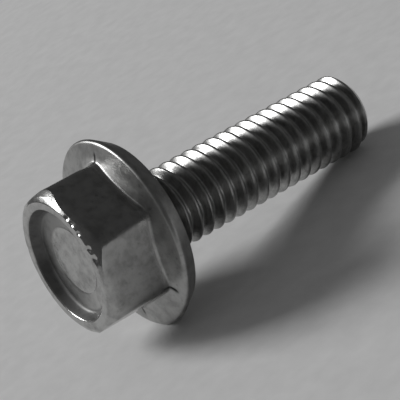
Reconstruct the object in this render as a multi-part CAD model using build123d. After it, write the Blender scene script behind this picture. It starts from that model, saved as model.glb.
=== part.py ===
from build123d import *

import os
from math import atan, ceil, cos, degrees, hypot, pi, radians, sin, tan

# Hexagon flange bolt, M6 x 20, cold-headed and thread-rolled from one piece of steel.
#
# The bolt is built with the bearing face in the plane z = 0, the head above it and the
# shank below. It is then turned over to stand on its head, because it would roll on its
# side: the flange and the thread are both round. The origin stays at the centre of the
# bearing face. Lengths are in millimetres and angles in degrees.

# Thread: ISO metric M6 coarse, tolerance 6g, right hand
major_diameter = 5.95
pitch = 1.0
thread_angle = 60.0
crest_flat = pitch / 8
root_flat = pitch / 6
thread_phase = 23.4             # turns the groove about the axis

# Shank
shank_length = 19.6             # nominal 20, inside grade A's 20 +/- 0.42
neck_diameter = 5.45            # plain neck under the head, near the pitch diameter
neck_length = 0.9
neck_taper = 0.5                # from the neck to the full diameter
underhead_radius = 0.3
runout_turns = 0.75             # the groove fades out over this part of a turn
tip_chamfer = 0.58              # at 45 degrees

# Hexagon head
across_flats = 10.0
corner_round = 1.12             # the corners are forged round
head_height = 6.2
chamfer_inset = 0.2             # from the flats in to the chamfer circle on the top
chamfer_angle = 38.0            # from the top face
head_turn = 38.5                # a corner's angle about the axis

# Flange
flange_overhang = 2.0           # from the flats out to the rim
rim_height = 1.26               # from the bearing face to the sharp corner before rounding
rim_round = 0.22
rim_draft = 33.0                # the side leans in towards the bearing face
flange_slope = 12.5             # upper face near the rim, from level
flange_inner_slope = 27.0       # upper face near the hexagon
flange_knee_radius = 5.9        # the two slopes meet here
flange_sweep = 4.0              # radius of the hollow between the two slopes
flange_fillet = 0.2             # between the hexagon and the flange

# Recess in the top of the head
land_width = 0.6                # from the chamfer circle in to the recess
land_round = 0.25               # outer edge of the land
mouth_round = 0.12              # inner edge of the land
wall_run = 0.4                  # the wall slopes in by this much
wall_depth = 0.75
foot_round = 0.3                # between the wall and the dish
dish_width = 1.2                # shallow dish between the wall and the floor
dish_depth = 0.05               # below the foot of the wall
punch_step = 0.05               # the flat floor lies a little deeper than the dish
punch_draft = 0.05

major_radius = major_diameter / 2
neck_radius = neck_diameter / 2
flank_slope = tan(radians(thread_angle / 2))
thread_depth = (pitch - crest_flat - root_flat) / 2 / flank_slope
root_radius = major_radius - thread_depth
apothem = across_flats / 2
sharp_corner = apothem / cos(pi / 6)
across_corners_radius = sharp_corner - corner_round * (1 / cos(pi / 6) - 1)
flange_radius = apothem + flange_overhang
chamfer_radius = apothem - chamfer_inset
mouth_radius = chamfer_radius - land_width

# Rim: the rounding is tangent to the sloping top and to the drafted side, and its
# outermost point is the flange radius. The angles are those of the sharp corner.
rim_half_angle = radians(90 - rim_draft + flange_slope) / 2
rim_lean = radians(90 - rim_draft - flange_slope) / 2
corner_to_centre = rim_round / sin(rim_half_angle)
rim_centre_radius = flange_radius - rim_round
rim_centre_height = rim_height - corner_to_centre * sin(rim_lean)
sharp_rim_radius = rim_centre_radius + corner_to_centre * cos(rim_lean)
bearing_radius = sharp_rim_radius - rim_height * tan(radians(rim_draft))
knee_rise = (sharp_rim_radius - flange_knee_radius) * tan(radians(flange_slope))
knee_height = rim_height + knee_rise

# The groove: its full depth ends below the neck and the rest of it fades out
groove_top = -neck_length - runout_turns * pitch
groove_turns = ceil((shank_length + groove_top) / pitch) + 1
groove_foot = groove_top - groove_turns * pitch
overshoot = 0.25                # cutters stand out of the surface by this much


def turned(outline):
    """A solid of revolution about Z from a closed outline in the plane y = 0."""
    return revolve(outline, Axis.Z)


def outline_of(points):
    """A flat face in the plane y = 0 from its (radius, height) corners."""
    return make_face(Polyline(*[(r, 0, z) for r, z in points], close=True))


def rounded(outline, radius, height, rounding):
    """The outline with its corner at (radius, height) rounded."""
    corner = outline.vertices().sort_by_distance((radius, 0, height))[0]
    return fillet(corner, rounding)


def circles_at(solid, radius, height, slack=0.02):
    """The circular edges of a solid with this radius about Z, at this height."""
    return [
        edge
        for edge in solid.edges().filter_by(GeomType.CIRCLE)
        if abs(edge.radius - radius) < slack and abs(edge.arc_center.Z - height) < slack
    ]


def flange():
    """The washer-like flange: hollow-sloped on top, a drafted rim and a flat bearing face."""
    outline = outline_of(
        [
            (0, 0),
            (bearing_radius, 0),
            (sharp_rim_radius, rim_height),
            (flange_knee_radius, knee_height),
            (0, knee_height + flange_knee_radius * tan(radians(flange_inner_slope))),
        ]
    )
    outline = rounded(outline, flange_knee_radius, knee_height, flange_sweep)
    outline = rounded(outline, sharp_rim_radius, rim_height, rim_round)
    return turned(outline)


def hexagon():
    """The hexagon with forged-round corners and a turned chamfer round its top."""
    prism = extrude(RegularPolygon(apothem, 6, major_radius=False), head_height)
    prism = Rot(0, 0, head_turn) * prism
    prism = fillet(prism.edges().filter_by(Axis.Z), corner_round)
    drop = (sharp_corner - chamfer_radius) * tan(radians(chamfer_angle))
    outline = outline_of(
        [
            (0, 0),
            (sharp_corner, 0),
            (sharp_corner, head_height - drop),
            (chamfer_radius, head_height),
            (0, head_height),
        ]
    )
    return prism & turned(rounded(outline, chamfer_radius, head_height, land_round))


def foot_of_hexagon(head):
    """The curved edges where the sides of the hexagon run out on the flange."""
    curved = [edge for edge in head.edges() if edge.geom_type != GeomType.LINE]
    middles = [edge.position_at(0.5) for edge in curved]
    return [
        edge
        for edge, middle in zip(curved, middles)
        if rim_height < middle.Z < head_height / 2 and hypot(middle.X, middle.Y) < sharp_corner
    ]


def recess():
    """The recess that the heading punch leaves: wall, shallow dish and flat floor."""
    wall_radius = mouth_radius - wall_run
    floor_radius = wall_radius - dish_width
    wall_foot = head_height - wall_depth
    dish_foot = wall_foot - dish_depth
    outside = mouth_radius + overshoot * wall_run / wall_depth
    outline = outline_of(
        [
            (0, head_height + overshoot),
            (outside, head_height + overshoot),
            (wall_radius, wall_foot),
            (floor_radius, dish_foot),
            (floor_radius - punch_draft, dish_foot - punch_step),
            (0, dish_foot - punch_step),
        ]
    )
    return turned(rounded(outline, wall_radius, wall_foot, foot_round))


def head():
    """The forged head: hexagon and flange in one, with the recess punched into its top."""
    body = hexagon() + flange()
    body = fillet(foot_of_hexagon(body), flange_fillet)
    body -= recess()
    return fillet(circles_at(body, mouth_radius, head_height), mouth_round)


def shank_blank():
    """The shank before the thread is rolled: neck, full diameter and chamfered tip."""
    inside_flange = rim_height / 2
    outline = outline_of(
        [
            (0, inside_flange),
            (neck_radius, inside_flange),
            (neck_radius, -neck_length),
            (major_radius, -neck_length - neck_taper),
            (major_radius, tip_chamfer - shank_length),
            (major_radius - tip_chamfer, -shank_length),
            (0, -shank_length),
        ]
    )
    return turned(outline)


def groove_section():
    """The groove's section, flat at its root, standing out of the surface at its mouth."""
    mouth = major_radius + overshoot
    inner = root_flat / 2
    outer = inner + (mouth - root_radius) * flank_slope
    corners = [(root_radius, -inner), (mouth, -outer), (mouth, outer), (root_radius, inner)]
    return outline_of(corners)


def groove_turn():
    """One turn of the helical groove at its full depth, rising from the plane z = 0."""
    path = Helix(pitch, pitch, root_radius)
    return sweep(groove_section(), path=path, is_frenet=True)


def groove_runout():
    """The end of the groove near the head, winding outwards until it leaves the surface."""
    rise = runout_turns * pitch
    widening = degrees(atan((thread_depth + overshoot) / rise))
    path = Helix(pitch, rise, root_radius, cone_angle=widening)
    return Pos(0, 0, groove_top) * sweep(groove_section(), path=path, is_frenet=True)


def shank():
    """The shank with its thread, cut one turn at a time, and turned to the right phase."""
    threaded = shank_blank() - groove_runout()
    one_turn = groove_turn()
    for turn in range(groove_turns):
        threaded -= Pos(0, 0, groove_foot + turn * pitch) * one_turn
    return Rot(0, 0, thread_phase) * threaded


def bolt():
    """The whole bolt, upright, with the fillet between the shank and the bearing face."""
    body = head() + shank()
    return fillet(circles_at(body, neck_radius, 0), underhead_radius)


def standing_on_its_head(solid):
    """Turns the bolt over about X, so that the tip points up."""
    return Rot(180, 0, 0) * solid


if __name__ == "__main__":
    os.makedirs("parts", exist_ok=True)
    export_step(standing_on_its_head(bolt()), "parts/flange_bolt.step")
    print("flange", 2 * flange_radius, "bearing face", round(2 * bearing_radius, 3))
    print("across corners", round(2 * across_corners_radius, 3))
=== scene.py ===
# %% [markdown]
# # A hexagon flange bolt
#
# The object is one piece of steel: an M6 bolt with a hexagon head, a flange forged onto
# it like a fixed washer, and a thread rolled along its whole shank.
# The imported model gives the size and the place. This lesson replaces its one node with a
# finer surface, gives that surface the finish of bright forged and rolled steel, and
# lights it on a pale table.

# %% Load the frame
import math
import bpy
import numpy as np
from mathutils import Matrix, Vector


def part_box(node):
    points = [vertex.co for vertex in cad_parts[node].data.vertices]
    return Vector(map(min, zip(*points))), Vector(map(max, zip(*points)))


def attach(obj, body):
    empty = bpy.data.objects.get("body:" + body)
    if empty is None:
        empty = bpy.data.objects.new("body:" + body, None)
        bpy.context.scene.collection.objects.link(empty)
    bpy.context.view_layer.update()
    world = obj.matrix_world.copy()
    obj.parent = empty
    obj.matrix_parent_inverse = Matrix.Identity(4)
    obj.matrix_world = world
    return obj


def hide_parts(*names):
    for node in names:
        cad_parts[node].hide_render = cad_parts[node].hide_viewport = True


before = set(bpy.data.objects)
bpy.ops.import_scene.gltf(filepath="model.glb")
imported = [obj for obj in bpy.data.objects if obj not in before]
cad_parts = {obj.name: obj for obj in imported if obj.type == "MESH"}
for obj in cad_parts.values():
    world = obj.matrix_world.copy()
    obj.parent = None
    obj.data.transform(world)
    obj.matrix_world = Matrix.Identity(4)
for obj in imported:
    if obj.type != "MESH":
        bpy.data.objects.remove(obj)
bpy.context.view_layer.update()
MM = 0.001
low, high = (np.array(corner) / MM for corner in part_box("flange_bolt"))
print("bolt box in millimetres:", low.round(2), high.round(2))

# %% [markdown]
# ## The sizes
#
# The bolt stands on its head, so Z runs from the head up to the tip, and z = 0 is the
# bearing face under the flange. The frame gives the overall sizes. The rest are the
# sizes of a metric flange bolt, written once here in millimetres. Heights on the head
# are measured up from the bearing face towards the head's top, because that is how a
# drawing of a bolt reads, and are turned over when the surface is placed.

# %% Sizes of the shank
shank_length = high[2]
pitch = 1.0
major_radius = 2.975
root_radius = 2.3616
root_flat = pitch / 6
flank_slope = math.tan(math.radians(30))
groove_angle = -23.4            # where the groove's centre line crosses its top, degrees
groove_top = 1.65               # the full depth starts here, above the bearing face
runout_turns = 0.75

neck_radius = 2.725
neck_length = 0.9
neck_taper = 0.5
underhead_round = 0.3
tip_chamfer = 0.58
print("shank length", shank_length)

# %% Sizes of the head
head_height = -low[2]
apothem = 5.0
corner_round = 1.12
head_turn = math.radians(-38.5)     # a corner's angle
land_edge = 4.75                # the flat land ends here, and the turned edge begins
land_fall = 0.65                # how much the turned edge falls for each millimetre out
brow_radius = 5.1               # outside this it falls by brow_fall more
brow_fall = 0.55
brow_round = 0.4
top_round = 2.0                 # near the head's top the corners are rounder

mouth_radius = 4.2
mouth_round = 0.12
wall_radius = 3.8
wall_foot = head_height - 0.75
foot_round = 0.35
floor_radius = 2.6
dish_foot = wall_foot - 0.05
floor_height = dish_foot - 0.05
floor_step = 0.16               # the step from the dish to the floor is this wide
print("head height", head_height, "floor of the recess at", round(floor_height, 3))

# %% Sizes of the flange
flange_radius = high[0]
rim_height = 1.26
rim_round = 0.22
sharp_rim_radius = 7.137
bearing_radius = 6.319
bearing_round = 0.04
flange_slope = math.radians(12.5)
inner_slope = math.radians(20)
knee_radius = 5.9               # the two slopes meet here
knee_round = 4.0
hexagon_fillet = 0.2
print("flange radius", flange_radius)

# %% [markdown]
# ## The hexagon's section
#
# A hexagon is round in one way only: its distance from the axis is a function of the
# angle. Along a flat that distance is the apothem over a cosine. Round a corner it is
# the far side of a small circle. One array of angles is shared by the whole bolt, so
# that every ring of points lines up with the next one. The angles are even, with extra
# ones where the wear on the head has small forms.

# %% Angles round the bolt
even_columns = np.arange(168) / 168
nick_columns = 0.021 + np.arange(36) * 0.0041
fold_offsets = np.array([-0.0045, -0.003, -0.0015, 0.0015, 0.003, 0.0045])
fold_columns = (np.arange(6)[:, None] / 6 + fold_offsets).ravel() % 1
turn = np.concatenate([even_columns, nick_columns, fold_columns, [1.0]])
turn = np.unique(turn.round(5))
columns = len(turn) - 1
angle = head_turn + turn[:-1] * 2 * np.pi
print("columns round the bolt:", columns)

# %% The hexagon
sixth = np.pi / 3


def hexagon_radius(corner_round):
    """The distance from the axis to a hexagon with rounded corners, at each angle.

    off is the angle from the nearest corner. The corner's circle has its centre at
    reach = (apothem - round) / cos 30, so its far side is at
    reach cos(off) + sqrt(round^2 - reach^2 sin^2(off)). Further off than the point where
    the circle meets the flat, the distance is apothem / cos(30 - off).
    """
    off = np.abs((angle - head_turn + sixth / 2) % sixth - sixth / 2)
    reach = (apothem - corner_round) / math.cos(sixth / 2)
    meets = math.atan2(corner_round * 0.5, reach + corner_round * math.cos(sixth / 2))
    inside = np.maximum(corner_round**2 - (reach * np.sin(off)) ** 2, 0)
    on_corner = reach * np.cos(off) + np.sqrt(inside)
    on_flat = apothem / np.cos(sixth / 2 - off)
    return np.where(off < meets, on_corner, on_flat)


hexagon = hexagon_radius(corner_round)
top_hexagon = hexagon_radius(top_round)
print("across flats", 2 * hexagon.min().round(3), "corners", 2 * hexagon.max().round(3))

# %% [markdown]
# ## The head's outline
#
# From the middle of the recess out over the land, down the flats and round the flange,
# the head is one outline of straight runs and rounded corners. On a lathe the outline
# would be the same at each angle. Here some of its corners move with the hexagon, so each
# corner is an array with a value for each angle, and so may be its rounding.

# %% Rounded outline


def rounded_outline(corners, rounds, run_steps, arc_steps=5):
    """Rows of (radius, height) along an outline of straight runs with rounded corners.

    corners is (corner, angle, 2). Each inner corner gets an arc of its own radius,
    tangent to both runs: the tangent points lie radius * tan(turn / 2) from the corner,
    and the arc's points are turned about its centre by equal steps. run_steps is how
    many parts the run before each corner is cut into.
    """
    rows = [corners[0]]
    for k in range(1, len(corners) - 1):
        back = corners[k - 1] - corners[k]
        onward = corners[k + 1] - corners[k]
        back /= np.linalg.norm(back, axis=-1, keepdims=True)
        onward /= np.linalg.norm(onward, axis=-1, keepdims=True)
        cosine = np.clip((back * onward).sum(-1, keepdims=True), -1, 1)
        half = np.arccos(cosine) / 2
        cut = rounds[k] / np.tan(half)
        first, last = corners[k] + back * cut, corners[k] + onward * cut
        middle = back + onward
        middle /= np.linalg.norm(middle, axis=-1, keepdims=True)
        centre = corners[k] + middle * rounds[k] / np.sin(half)
        start = rows[-1]
        for step in range(1, run_steps[k]):
            rows.append(start + (first - start) * step / run_steps[k])
        sweep = np.pi / 2 - half
        across = (last - first) / np.linalg.norm(last - first, axis=-1, keepdims=True)
        for step in range(arc_steps + 1):
            share = 2 * step / arc_steps - 1
            rows.append(centre - middle * rounds[k] * np.cos(sweep * share)
                        + across * rounds[k] * np.sin(sweep * share))
    start = rows[-1]
    for step in range(1, run_steps[-1] + 1):
        rows.append(start + (corners[-1] - start) * step / run_steps[-1])
    return np.array(rows)


def ring(radius, height):
    """A corner that is the same at every angle, or moves with an array."""
    return np.stack(np.broadcast_arrays(radius, height, angle)[:2], axis=-1).astype(float)


print("a corner of the outline has the shape", ring(apothem, head_height).shape)

# %% [markdown]
# ## The faces between the corners
#
# The flange's upper face is hollow: it is steep near the hexagon and shallow near the
# rim, with a long sweep between the two. The edge round the head's top was turned, and it
# bulges a little. Where it meets the flats it is narrow and at the corners it is broad,
# which gives the head its curved shoulders.

# %% Heights on the flange and the turned edge


def cone_height(radius):
    """The height of the flange's shallow upper face at this radius."""
    return rim_height + (sharp_rim_radius - radius) * math.tan(flange_slope)


def inner_height(radius):
    """The height of the steeper upper face near the hexagon at this radius."""
    return cone_height(knee_radius) + (knee_radius - radius) * math.tan(inner_slope)


def chamfer_height(radius):
    """The height of the head's turned edge at this radius.

    The edge is convex: from the land it falls by land_fall per millimetre, and by
    brow_fall more outside brow_radius.
    """
    fall = (radius - land_edge) * land_fall + np.maximum(radius - brow_radius, 0) * brow_fall
    return head_height - fall


# The roundings that shrink where their two neighbours come close, so that none overlap
chamfer_middle = land_edge + 0.48 * (top_hexagon - land_edge)
brow_lift = 0.04 * (top_hexagon - land_edge)       # the turned edge is convex on the flats too
land_ease = (chamfer_middle - land_edge)[:, None]
chamfer_edge = (0.3 * (top_hexagon - chamfer_middle))[:, None]
knee_sweep = np.minimum(knee_round, (knee_radius - hexagon - 0.11) / 0.13)[:, None]
print("the turned edge is", (top_hexagon - land_edge).min().round(2), "to",
      (top_hexagon - land_edge).max().round(2), "mm wide")

# %% The head's rows
# corner, its rounding, and the parts that the run up to it is cut into
head_outline = [
    (ring(0.02, floor_height), 0, 1),
    (ring(floor_radius - floor_step, floor_height), 0.03, 6),
    (ring(floor_radius, dish_foot), 0.04, 1),
    (ring(wall_radius, wall_foot), foot_round, 5),
    (ring(mouth_radius, head_height), mouth_round, 3),
    (ring(land_edge, head_height), land_ease, 3),
    (ring(chamfer_middle, chamfer_height(chamfer_middle) + brow_lift), brow_round, 2),
    (ring(top_hexagon, chamfer_height(top_hexagon)), chamfer_edge, 3),
    (ring(hexagon, inner_height(hexagon)), hexagon_fillet, 12),
    (ring(knee_radius, cone_height(knee_radius)), knee_sweep, 3),
    (ring(sharp_rim_radius, rim_height), rim_round, 8),
    (ring(bearing_radius, 0), bearing_round, 5),
    (ring(neck_radius, 0), underhead_round, 8),
    (ring(neck_radius, -underhead_round - 0.05), 0, 1),
]
head_corners, head_rounds, head_runs = zip(*head_outline)
head_rows = rounded_outline(np.array(head_corners), head_rounds, head_runs)
print("head rows", head_rows.shape)

# %% [markdown]
# ## The thread
#
# A rolled thread is a helix, so rows of points that run level round the shank would cut
# across its crests and make them ragged. Here each row climbs with the helix instead:
# after one turn it has risen one pitch and meets the row that starts a pitch higher.
# The rows lie close together where the profile turns, at the root and at the crest.
# The radius at a point is the smaller of the groove's and the blank's, with a soft
# corner between them, as metal has that was rolled and not cut.

# %% Thread surface
taper_soft, shoulder_soft, tip_soft = 0.05, 0.05, 0.06    # how far the corners are rounded
root_soft, crest_soft = 0.09, 0.07
clear_of_metal = 0.25           # the run-out ends this far outside the crests


def soft_min(a, b, reach):
    """The smaller of two arrays, with the corner between them rounded.

    Within reach of each other they share a parabola: the smaller one less
    (reach - difference)^2 / (4 reach).
    """
    near = np.maximum(reach - np.abs(a - b), 0)
    return np.minimum(a, b) - near**2 / (4 * reach)


def soft_max(a, b, reach):
    """The larger of two arrays, with the corner between them rounded."""
    return -soft_min(-a, -b, reach)


def blank_radius(z):
    """The shank before rolling: neck, taper, full diameter and chamfered tip."""
    taper = neck_radius + (z - neck_length) * (major_radius - neck_radius) / neck_taper
    body = soft_max(taper, neck_radius + 0 * z, taper_soft)
    body = soft_min(body, major_radius + 0 * z, shoulder_soft)
    return soft_min(body, major_radius + shank_length - tip_chamfer - z, tip_soft)


def thread_radius(z, turn):
    """The shank's radius at height z and angle turn, in whole turns.

    The groove's centre line climbs one pitch a turn. away is the distance along the
    axis from the nearest centre line, and the flanks rise from the root by
    away / tan 30. Below groove_top the groove lifts until it leaves the metal.
    """
    climbed = (z - groove_top) / pitch - turn
    nearest = np.round(climbed)
    away = np.abs(climbed - nearest) * pitch
    flank = root_radius + (away - root_flat / 2) / flank_slope
    groove = soft_max(flank, root_radius + 0 * flank, root_soft)
    before_top = np.maximum(-(nearest + turn), 0) / runout_turns
    lift = before_top * (major_radius - root_radius + clear_of_metal)
    return soft_min(groove + lift, blank_radius(z), crest_soft)


# %% Climbing rows
row_shares = np.array([0, 0.07, 0.12, 0.21, 0.31, 0.39, 0.44, 0.5, 0.56, 0.61, 0.69,
                       0.79, 0.88, 0.93])       # of a pitch
rows_per_pitch = len(row_shares)
thread_turn = turn + (head_turn - math.radians(groove_angle)) / (2 * np.pi)
thread_foot = underhead_round + 0.05
first_pitch = math.floor((thread_foot - groove_top) / pitch) - 3
last_pitch = math.ceil((shank_length - groove_top) / pitch) + 1
steps = (np.arange(first_pitch, last_pitch)[:, None] + row_shares).ravel()
climb = groove_top + (steps[:, None] + thread_turn[None, :]) * pitch
level = np.clip(climb, thread_foot, shank_length)
thread_r = thread_radius(level, thread_turn)
print("thread rows", thread_r.shape)

# %% [markdown]
# ## Wear on the head
#
# The outer edge of the land has small nicks, from knocks against other bolts, and at the
# foot of most corners the flange has a fine fold, where the die pushed the metal together.
# Both could be bump in the material. Here they are pressed into the points, so that they
# show on the outline too and mirror the room as real dents do.

# %% Place points


def place(radius, height, at_angle):
    """Points from radius, height along Z and angle, in millimetres."""
    shape = np.broadcast_shapes(np.shape(radius), np.shape(height), np.shape(at_angle))
    radius, height, at_angle = (np.broadcast_to(v, shape) for v in (radius, height, at_angle))
    return np.stack([radius * np.cos(at_angle), radius * np.sin(at_angle), height], axis=-1)


# %% Nicks
# angle round the head in degrees, radius and height of each nick, its depth and its size
nicks = np.array([(-7, 4.84, 6.17, 0.07, 0.15), (0, 4.82, 6.18, 0.09, 0.13),
                  (9, 4.80, 6.18, 0.11, 0.14), (24, 4.82, 6.17, 0.14, 0.16),
                  (33, 4.86, 6.15, 0.16, 0.17), (150, 4.85, 6.15, 0.1, 0.16),
                  (235, 4.84, 6.15, 0.08, 0.14)])


def dented(skin):
    """The head's points with the nicks pressed in.

    Each nick moves the metal round it inwards and down by
    depth * exp(-(distance / size)^2).
    """
    away, radius, height, depth, size = nicks.T[:, :, None, None]
    middles = place(radius, -height, np.radians(away))
    distance = np.linalg.norm(skin[None] - middles, axis=-1)
    press = (depth * np.exp(-(distance / size) ** 2)).sum(0)
    outwards = skin * [1, 1, 0]
    outwards = outwards / np.maximum(np.linalg.norm(outwards, axis=-1, keepdims=True), 0.01)
    inwards = (np.array([0, 0, 1.0]) - outwards) / math.sqrt(2)
    return skin + press[..., None] * inwards


# %% Folds
# The third width is how wide the folds are painted dark, painted shade in the creases.
fold_depth, fold_width, fold_shade_width = 0.07, 0.08, 0.14
fold_radius, fold_reach = 5.85, 0.42
fold_shares = np.array([1, 0.15, 1, 0.8, 0.9, 0.7])     # no two corners fold alike


def fold_amount(skin, width):
    """How much of a fold there is at each point, from 0 to 1, times the corner's share.

    A fold runs outwards from the foot of each corner. It fades sideways as
    exp(-(off / width)^2) and along its length as
    exp(-((radius - fold_radius) / fold_reach)^4).
    """
    radius = np.hypot(skin[..., 0], skin[..., 1])
    away = np.arctan2(skin[..., 1], skin[..., 0]) - head_turn
    corner = np.floor((away / sixth + 0.5) % 6).astype(int) % 6
    off = away % sixth
    off = radius * np.minimum(off, sixth - off)
    amount = np.exp(-(off / width) ** 2 - ((radius - fold_radius) / fold_reach) ** 4)
    upper_face = (-skin[..., 2] > 1.0) & (-skin[..., 2] < 2.3) & (radius > 5.3)
    return amount * upper_face * fold_shares[corner]


def folded(skin):
    """The head's points with a fine fold pressed into the flange at each corner."""
    return skin + fold_depth * fold_amount(skin, fold_width)[..., None] * [0, 0, 1]


head_points = folded(dented(place(head_rows[..., 0], -head_rows[..., 1], angle)))
print("head points", head_points.shape)

# %% [markdown]
# ## One closed surface
#
# The head's rows, the thread's climbing rows and the rings of the tip share one set of
# angles, so they join into a single closed skin. A climbing row that has run past an end
# of the thread is held at that end: its points there all become the point of the end
# ring, and the triangles that shrink to nothing are left out. At the seam a row joins
# the row that starts one pitch higher.

# %% Rings and bands
points, triangles = [], []


def add_points(new_points):
    """Adds a block of points and returns their numbers, in the block's own shape."""
    start = sum(len(block) for block in points)
    points.append(new_points.reshape(-1, 3))
    return (start + np.arange(len(points[-1]))).reshape(new_points.shape[:-1])


def closed(ring_numbers):
    """Rings of vertex numbers with their first number repeated at the end."""
    return np.concatenate([ring_numbers, ring_numbers[..., :1]], axis=-1)


def band(lower, upper):
    """Triangles between two rings, given as arrays of vertex numbers, seen from outside.

    The rings' first number is repeated at their end, and lower is the nearer to the head.
    """
    a, b, c, d = lower[..., :-1], lower[..., 1:], upper[..., 1:], upper[..., :-1]
    made = np.stack([a, b, c, a, c, d], axis=-1).reshape(-1, 3)
    real = (made[:, 0] != made[:, 1]) & (made[:, 1] != made[:, 2]) & (made[:, 2] != made[:, 0])
    return made[real]


# %% Head and tip
head_numbers = closed(add_points(head_points))
triangles.append(band(head_numbers[:-1], head_numbers[1:]))

tip_shares = np.array([0.985, 0.65, 0.3, 0.01])[:, None]
end_radius = thread_radius(np.full(columns + 1, shank_length), thread_turn)[:-1]
first_ring = closed(add_points(place(end_radius, shank_length, angle)))
tip_numbers = closed(add_points(place(tip_shares * end_radius, shank_length, angle)))
tip_rings = np.vstack([first_ring[None], tip_numbers])
triangles.append(band(tip_rings[:-1], tip_rings[1:]))
print("triangles on the head and the tip:", [len(block) for block in triangles])

# %% Thread
thread_angle = angle[0] + turn * 2 * np.pi
thread_numbers = add_points(place(thread_r, level, thread_angle)[:, :-1])
below, above = climb[:, :-1] <= thread_foot, climb[:, :-1] >= shank_length
thread_numbers = np.where(below, head_numbers[-1][None, :-1], thread_numbers)
thread_numbers = np.where(above, first_ring[None, :-1], thread_numbers)
seam = np.roll(thread_numbers[:, :1], -rows_per_pitch, axis=0)
seam[-rows_per_pitch:] = first_ring[0]
thread_numbers = np.hstack([thread_numbers, seam])
triangles.append(band(thread_numbers[:-1], thread_numbers[1:]))
print("triangles on the thread:", len(triangles[-1]))

# %% Poles
head_pole = add_points(np.array([[0.0, 0.0, -floor_height]]))[0]
tip_pole = add_points(np.array([[0.0, 0.0, shank_length]]))[0]
triangles.append(band(np.full((1, columns + 1), head_pole), head_numbers[:1]))
triangles.append(band(tip_numbers[-1:], np.full((1, columns + 1), tip_pole)))

points = np.concatenate(points)
triangles = np.concatenate(triangles)
used, renumbered = np.unique(triangles, return_inverse=True)
points, triangles = points[used], renumbered.reshape(-1, 3)
print("points", len(points), "triangles", len(triangles))

# %% The bolt's object


def mesh_object(name, vertices, faces):
    """A smooth-shaded mesh object from arrays of points in metres and of triangles."""
    mesh = bpy.data.meshes.new(name)
    mesh.vertices.add(len(vertices))
    mesh.vertices.foreach_set("co", vertices.astype(np.float32).ravel())
    mesh.loops.add(faces.size)
    mesh.loops.foreach_set("vertex_index", faces.astype(np.int32).ravel())
    mesh.polygons.add(len(faces))
    mesh.polygons.foreach_set("loop_start", np.arange(0, faces.size, 3, dtype=np.int32))
    mesh.polygons.foreach_set("use_smooth", np.full(len(faces), True))
    mesh.update(calc_edges=True)
    made = bpy.data.objects.new(name, mesh)
    bpy.context.collection.objects.link(made)
    return made


bolt = mesh_object("bolt_surface", points * MM, triangles)
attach(bolt, "root")
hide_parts("flange_bolt")
# A mask of the folds for the steel, where they are painted dark, painted shade in the creases.
fold_shade = bolt.data.attributes.new("fold_shade", "FLOAT", "POINT")
fold_shade.data.foreach_set("value", fold_amount(points, fold_shade_width).astype(np.float32))
print("made", bolt.name, "with", len(bolt.data.polygons), "faces")

# %% [markdown]
# ## Nodes in short
#
# A few helpers keep the wiring readable: one makes a node and joins its inputs, others
# remap, multiply and mix values, and one opens a node group with named inputs and outputs.

# %% Node helpers


def new_material(name):
    """An empty node material: its tree and its Principled shader, ready to be wired."""
    made = bpy.data.materials.new(name)
    made.use_nodes = True
    return made, made.node_tree, made.node_tree.nodes["Principled BSDF"]


def node(tree, kind, inputs=(), **settings):
    """A node of this kind; inputs is (name or number, value or output socket) pairs."""
    made = tree.nodes.new("ShaderNode" + kind)
    for name, value in settings.items():
        setattr(made, name, value)
    for name, value in inputs:
        if isinstance(value, bpy.types.NodeSocket):
            tree.links.new(value, made.inputs[name])
        else:
            made.inputs[name].default_value = value
    return made


def remap(tree, value, from_min, from_max, to_min, to_max, kind="SMOOTHSTEP"):
    """A value taken from one range to another, held at both ends."""
    made = node(tree, "MapRange", [("Value", value), ("From Min", from_min),
                                   ("From Max", from_max), ("To Min", to_min),
                                   ("To Max", to_max)], interpolation_type=kind)
    return made.outputs["Result"]


def times(tree, a, b):
    """The product of two values."""
    return node(tree, "Math", [(0, a), (1, b)], operation="MULTIPLY").outputs[0]


def plus(tree, a, b):
    """The sum of two values."""
    return node(tree, "Math", [(0, a), (1, b)], operation="ADD").outputs[0]


def mixed(tree, factor, a, b):
    """A value between a and b."""
    return node(tree, "Mix", [("Factor", factor), ("A", a), ("B", b)]).outputs["Result"]


def node_group(name, inputs, outputs):
    """A node group with (name, kind, default) inputs and (name, kind) outputs."""
    tree = bpy.data.node_groups.new(name, "ShaderNodeTree")
    for socket, kind, default in inputs:
        made = tree.interface.new_socket(socket, in_out="INPUT", socket_type="NodeSocket" + kind)
        if default is not None:
            made.default_value = default
    for socket, kind in outputs:
        tree.interface.new_socket(socket, in_out="OUTPUT", socket_type="NodeSocket" + kind)
    return tree, tree.nodes.new("NodeGroupInput"), tree.nodes.new("NodeGroupOutput")


# %% [markdown]
# ## Where on the bolt
#
# The finish changes with the place: the wall of the recess is painted nearly black,
# painted shade, the punched floor is clean, and the thread has been burnished by the rolls.
# This group turns a place on the bolt into masks for those zones, from its distance from
# the axis and its height. The dish round the floor is painted darker on one side, painted
# shade, so one mask runs across the bolt.

# %% Zones: the group
zones, zones_in, zones_out = node_group(
    "bolt_zones", [("Place", "Vector", None)],
    [("Wall", "Float"), ("Dish", "Float"), ("Shank", "Float"), ("Flange", "Float"),
     ("Sides", "Float"), ("Shaded Side", "Float")])
per_metre = 1 / MM
flat_place = node(zones, "VectorMath",
                  [(0, zones_in.outputs["Place"]), (1, (per_metre, per_metre, 0))],
                  operation="MULTIPLY").outputs[0]
from_axis = node(zones, "VectorMath", [(0, flat_place)], operation="LENGTH").outputs["Value"]
split = node(zones, "SeparateXYZ", [(0, zones_in.outputs["Place"])])
up_bolt = times(zones, split.outputs["Z"], per_metre)
print("zones:", [item.name for item in zones.interface.items_tree])

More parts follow.
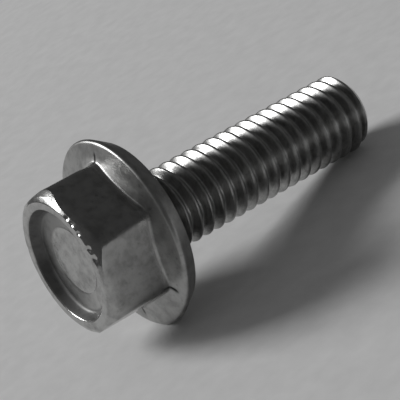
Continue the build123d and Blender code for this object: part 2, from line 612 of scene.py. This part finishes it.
# %% Zones: the recess
in_recess = remap(zones, up_bolt, 0.03 - head_height, 0.1 - head_height, 0, 1)
above_floor = remap(zones, up_bolt, 0.05 - floor_height, 0.15 - floor_height, 1, 0)
below_mouth = remap(zones, from_axis, mouth_radius, mouth_radius + 0.1, 1, 0)
hollow = times(zones, times(zones, in_recess, above_floor), below_mouth)
wall_edge = (wall_radius - 0.3, wall_radius - 0.05)
floor_edge = (floor_radius - 0.22, floor_radius + 0.02)
past_wall = remap(zones, from_axis, *wall_edge, 0, 1)
past_floor = remap(zones, from_axis, *floor_edge, 0, 1)
before_wall = remap(zones, from_axis, *wall_edge, 1, 0)
zones.links.new(times(zones, hollow, past_wall), zones_out.inputs["Wall"])
zones.links.new(times(zones, times(zones, hollow, past_floor), before_wall),
                zones_out.inputs["Dish"])
# The dish is painted darker towards this side of the bolt, painted shade, and the wall is made
# rougher there.
shaded_angle = math.radians(235)
shaded_side = (math.cos(shaded_angle), math.sin(shaded_angle), 0)
across = node(zones, "VectorMath", [(0, flat_place), (1, shaded_side)], operation="DOT_PRODUCT")
zones.links.new(remap(zones, across.outputs["Value"], -2.6, 1.0, 0, 1),
                zones_out.inputs["Shaded Side"])
print("the residue is thickest at", round(math.degrees(shaded_angle)), "degrees")

# %% Zones: shank, flange and sides
flange_top = 2.2                # the flange's upper face lies below this height
zones.links.new(remap(zones, up_bolt, 0.02, 0.3, 0, 1), zones_out.inputs["Shank"])
on_flange = times(zones, remap(zones, up_bolt, -flange_top, -1.7, 0, 1),
                  remap(zones, up_bolt, 0.0, 0.05, 1, 0))
zones.links.new(on_flange, zones_out.inputs["Flange"])
on_sides = times(zones, remap(zones, up_bolt, -2.0, -flange_top, 0, 1),
                 times(zones, remap(zones, up_bolt, -5.9, -5.5, 0, 1),
                       remap(zones, from_axis, 4.85, 4.95, 0, 1)))
zones.links.new(on_sides, zones_out.inputs["Sides"])
print("nodes in bolt_zones:", len(zones.nodes))

# %% [markdown]
# ## The skin of forged steel
#
# A forged and tumbled face isn't even. It has soft blotches about a millimetre across,
# where the die pressed harder or softer, small pits, and a fine grain over all. The group
# gives a tone to multiply the colour by, an amount to add to the roughness, and a relief
# for the bump. Streaks run round the shank, the way the thread rolls slid.

# %% Forged skin: the patterns
skin, skin_in, skin_out = node_group(
    "forged_skin",
    [("Place", "Vector", None), ("Blotch Size", "Float", 1.0), ("Streaks", "Float", 0.0)],
    [("Tone", "Float"), ("Wear", "Float"), ("Relief", "Float")])
skin_place, streak_amount = skin_in.outputs["Place"], skin_in.outputs["Streaks"]


def noise(place, scale, detail, **more):
    """The value of a noise in the skin's group; scale is its waves in a metre."""
    inputs = [("Vector", place), ("Scale", scale), ("Detail", detail)]
    inputs += [(name.capitalize(), value) for name, value in more.items()]
    return node(skin, "TexNoise", inputs).outputs["Fac"]


blotch_scale = node(skin, "Math", [(0, per_metre), (1, skin_in.outputs["Blotch Size"])],
                    operation="DIVIDE").outputs[0]
stretched = node(skin, "VectorMath", [(0, skin_place), (1, (1, 1, 14))],
                 operation="MULTIPLY").outputs[0]
blotches = noise(skin_place, blotch_scale, 5.0, roughness=0.6)
pits = noise(skin_place, 2600.0, 3.0)
grain = noise(skin_place, 9000.0, 2.0)
streak = noise(stretched, 700.0, 4.0, roughness=0.65)
print("patterns in forged_skin:", sum(n.type == "TEX_NOISE" for n in skin.nodes))

# %% Forged skin: what it gives
blotch_tone = remap(skin, blotches, 0.3, 0.62, 0.74, 1.08)
pit_tone = remap(skin, pits, 0.28, 0.42, 0.8, 1.0)
streak_depth = times(skin, remap(skin, streak, 0.35, 0.6, 0.5, 0.0), streak_amount)
streak_tone = node(skin, "Math", [(0, 1.0), (1, streak_depth)], operation="SUBTRACT").outputs[0]
skin.links.new(times(skin, times(skin, blotch_tone, pit_tone), streak_tone),
               skin_out.inputs["Tone"])
skin.links.new(remap(skin, blotches, 0.35, 0.6, 0.07, -0.02), skin_out.inputs["Wear"])
relief = plus(skin, times(skin, pits, 0.6), times(skin, grain, 0.25))
skin.links.new(plus(skin, relief, times(skin, streak, streak_amount)),
               skin_out.inputs["Relief"])
print("groups:", [group.name for group in bpy.data.node_groups])

# %% [markdown]
# ## Bright steel
#
# Steel mirrors what stands round it, dimmed to about half. The flats are the smoothest,
# the rolled thread is a little duller, and the flange is the dullest. The wall of the
# recess is painted nearly black and made matte, painted shade that keeps it dark whatever
# it mirrors; the dish is painted darker on one side, painted shade, and the folds are
# painted dark, painted shade in the creases. A material for each zone could do the same,
# but then each border would be a hard line.

# %% Steel: the zones and the skin
steel, tree, steel_shader = new_material("bright_steel")
place_on_bolt = node(tree, "TexCoord").outputs["Object"]
zone_node = node(tree, "Group", node_tree=zones)
tree.links.new(place_on_bolt, zone_node.inputs["Place"])
zone = zone_node.outputs
forged_node = node(tree, "Group", node_tree=skin)
tree.links.new(place_on_bolt, forged_node.inputs["Place"])
tree.links.new(times(tree, zone["Shank"], 0.5), forged_node.inputs["Streaks"])
forged = forged_node.outputs
fold_shade_mask = node(tree, "Attribute", attribute_name="fold_shade").outputs["Fac"]
print("masks on the bolt:", zone.keys())

# %% Steel: colour
tone = times(tree, forged["Tone"], 0.455)
tone = mixed(tree, zone["Flange"], tone, times(tree, tone, 0.86))
tone = mixed(tree, zone["Sides"], tone, times(tree, tone, 0.8))
# The dish is painted darker towards the shaded side and a little lighter on the other, painted
# shade and painted light.
in_dish = mixed(tree, zone["Shaded Side"], times(tree, tone, 1.05), times(tree, tone, 0.6))
tone = mixed(tree, zone["Dish"], tone, in_dish)
# The wall of the recess is painted nearly black, painted shade.
tone = mixed(tree, zone["Wall"], tone, times(tree, forged["Tone"], 0.14))
# The folds are painted nearly black, painted shade in the creases.
tone = mixed(tree, fold_shade_mask, tone, 0.05)
colour = node(tree, "CombineColor", [("Red", tone), ("Green", tone),
                                     ("Blue", times(tree, tone, 0.985))])
tree.links.new(colour.outputs["Color"], steel_shader.inputs["Base Color"])
print("nodes for the colour:", len(tree.nodes))

# %% Steel: polish and relief
relief_height = 0.000012        # metres
rough = plus(tree, 0.2, forged["Wear"])
rough = mixed(tree, zone["Flange"], rough, 0.36)
rough = mixed(tree, zone["Shank"], rough, 0.3)
rough = mixed(tree, zone["Dish"], rough, 0.35)
rough = mixed(tree, fold_shade_mask, rough, 0.6)
wall_rough = mixed(tree, zone["Shaded Side"], 0.26, 0.5)
rough = mixed(tree, zone["Wall"], rough, wall_rough)
metal = mixed(tree, zone["Wall"], 1.0, 0.5)
bump = node(tree, "Bump", [("Height", forged["Relief"]), ("Strength", 1.0),
                           ("Distance", relief_height)])
tree.links.new(rough, steel_shader.inputs["Roughness"])
tree.links.new(metal, steel_shader.inputs["Metallic"])
tree.links.new(bump.outputs["Normal"], steel_shader.inputs["Normal"])
bolt.data.materials.append(steel)
print("nodes in bright_steel:", len(tree.nodes))

# %% [markdown]
# ## The table
#
# The camera sees the bolt lying on a table, on the rim of its flange and the crest of its
# thread. The model stands on its head, so the table is stood up beside it instead: a
# steep pale sheet that touches the bolt at those two places. The whole view, with its
# lights, is turned the same way, and the picture is the one of a bolt on a level table.
# The sheet has one side: seen from behind it lets the eye through, so that it never
# stands in front of the bolt when someone walks round it.

# %% Table frame
lying_tilt = math.radians(11.52)    # of the axis, when the bolt rests on rim and thread
lying_turn = math.radians(-44)      # this angle of the bolt faces up
rim_centre = np.array([-(flange_radius - rim_round), -1.114])    # of the rim's rounding
along = np.array([math.sin(lying_tilt), 0, math.cos(lying_tilt)])
upward = np.array([math.cos(lying_tilt), 0, -math.sin(lying_tilt)])
sideways = np.array([0, -1, 0])
turn_to_part = Matrix.Rotation(lying_turn, 3, "Z") @ Matrix(
    np.column_stack([along, sideways, upward]).tolist())
table_depth = -(rim_centre @ upward[[0, 2]]) + rim_round
print("the table lies", round(table_depth, 3), "mm below the bolt's origin")


def in_part(place):
    """A place given along, across and above the table in millimetres, in metres."""
    return turn_to_part @ Vector(place) * MM


# %% The pale sheet
near, far = (-600, -60), (45, 600)      # it ends just past the tip of the bolt
corners = [in_part((x, y, -table_depth)) for x, y in
           (near, (far[0], near[1]), far, (near[0], far[1]))]
table = bpy.data.meshes.new("table")
table.from_pydata(corners, [], [(0, 1, 2, 3)])
table = bpy.data.objects.new("table", table)
bpy.context.collection.objects.link(table)

paper, tree, paper_shader = new_material("pale_sheet")
paper_shader.inputs["Roughness"].default_value = 0.8
paper_shader.inputs["Specular IOR Level"].default_value = 0.2
place_on_paper = node(tree, "TexCoord").outputs["Object"]
mottle = node(tree, "TexNoise", [("Vector", place_on_paper), ("Scale", 700), ("Detail", 4)])
paper_tone = remap(tree, mottle.outputs["Fac"], 0.3, 0.7, 0.77, 0.83, kind="LINEAR")
tree.links.new(paper_tone, paper_shader.inputs["Base Color"])
which_side = node(tree, "NewGeometry").outputs["Backfacing"]
see_through = node(tree, "BsdfTransparent").outputs["BSDF"]
one_sided = node(tree, "MixShader", [("Fac", which_side), (1, paper_shader.outputs["BSDF"]),
                                     (2, see_through)])
tree.links.new(one_sided.outputs["Shader"], tree.nodes["Material Output"].inputs["Surface"])
table.data.materials.append(paper)
print("sheet", far[0] - near[0], "by", far[1] - near[1], "mm")

# %% [markdown]
# ## The camera
#
# The camera looks down on the head, as one looks at a small part on a desk, and is rolled
# so that the bolt runs up to the right. Its lens is long, so the far end of the bolt is
# only a little smaller than the near one. Its place is worked out on the level table and
# then turned with it.

# %% Camera
view_azimuth = math.radians(-25.667)
view_elevation = math.radians(23.118)
view_roll = math.radians(-30.353)
view_distance, shift_right, shift_up = 111.2, 4.309, 1.765      # millimetres
sensor_width = 36
focal_share = 4.0475            # the focal length over the sensor's width
backward = Vector((math.sin(view_azimuth) * math.cos(view_elevation),
                   -math.cos(view_azimuth) * math.cos(view_elevation),
                   math.sin(view_elevation)))
level_right = Vector((math.cos(view_azimuth), math.sin(view_azimuth), 0))
level_top = backward.cross(level_right)
to_right = level_right * math.cos(view_roll) + level_top * math.sin(view_roll)
to_top = backward.cross(to_right)


def turned_object(name, data, place, right, top, back):
    """An object for a camera or a lamp at this place, looking against back."""
    made = bpy.data.objects.new(name, data)
    bpy.context.collection.objects.link(made)
    axes = turn_to_part @ Matrix((right, top, back)).transposed()
    made.matrix_world = Matrix.Translation(in_part(place)) @ axes.to_4x4()
    return made


camera_data = bpy.data.cameras.new("camera")
camera_data.sensor_width = sensor_width
camera_data.lens = sensor_width * focal_share
camera_data.clip_start = 0.001
camera_data.clip_end = 20
camera_place = to_right * shift_right + to_top * shift_up + backward * view_distance
camera = turned_object("camera", camera_data, camera_place, to_right, to_top, backward)
bpy.context.scene.camera = camera
print("camera at", [round(value / MM) for value in camera.location], "mm")

# %% [markdown]
# ## The light
#
# One broad window stands behind the bolt and to its left, a little over a third of the
# way up the sky. It casts the soft shadow on the sheet, and the crests mirror it as a row
# of white glints. The rest of the room is dark, which gives the steel its contrast, and is
# pale only where the camera looks straight at it.

# %% Window
window_azimuth, window_elevation = math.radians(126), math.radians(35)
window_distance, window_width, window_height = 1500, 650, 500
lit_middle = Vector((6, 0, -4))     # the window faces this place on the bolt
sheet_tone = 0.303                # how bright the window alone makes the sheet
sheet_white = 0.8
towards_window = Vector((math.cos(window_azimuth) * math.cos(window_elevation),
                         math.sin(window_azimuth) * math.cos(window_elevation),
                         math.sin(window_elevation)))
window_right = Vector((0, 0, 1)).cross(towards_window).normalized()
window_up = towards_window.cross(window_right)
window_data = bpy.data.lights.new("window", "AREA")
window_data.shape = "RECTANGLE"
window_data.size = window_width * MM
window_data.size_y = window_height * MM
light_on_sheet = sheet_tone * math.pi / sheet_white
window_data.energy = (light_on_sheet * math.pi * (window_distance * MM)**2
                      / math.sin(window_elevation))
turned_object("window", window_data, lit_middle + towards_window * window_distance,
              window_right, window_up, towards_window)
print("window power", round(window_data.energy, 3), "W")

# %% Room
mirrored_tone, sheet_light_tone, backdrop_tone = 0.072, 0.125, 0.37
world = bpy.data.worlds.new("room")
bpy.context.scene.world = world
world.use_nodes = True
tree = world.node_tree
ray = node(tree, "LightPath").outputs
lit_tone = mixed(tree, ray["Is Diffuse Ray"], mirrored_tone, sheet_light_tone)
seen_tone = mixed(tree, ray["Is Camera Ray"], lit_tone, backdrop_tone)
background = tree.nodes["Background"]
tree.links.new(seen_tone, background.inputs["Strength"])
background.inputs["Color"].default_value = (1, 1, 1, 1)
bpy.context.scene.view_settings.view_transform = "Standard"
print("the room mirrors as", mirrored_tone, "and is seen as", backdrop_tone)
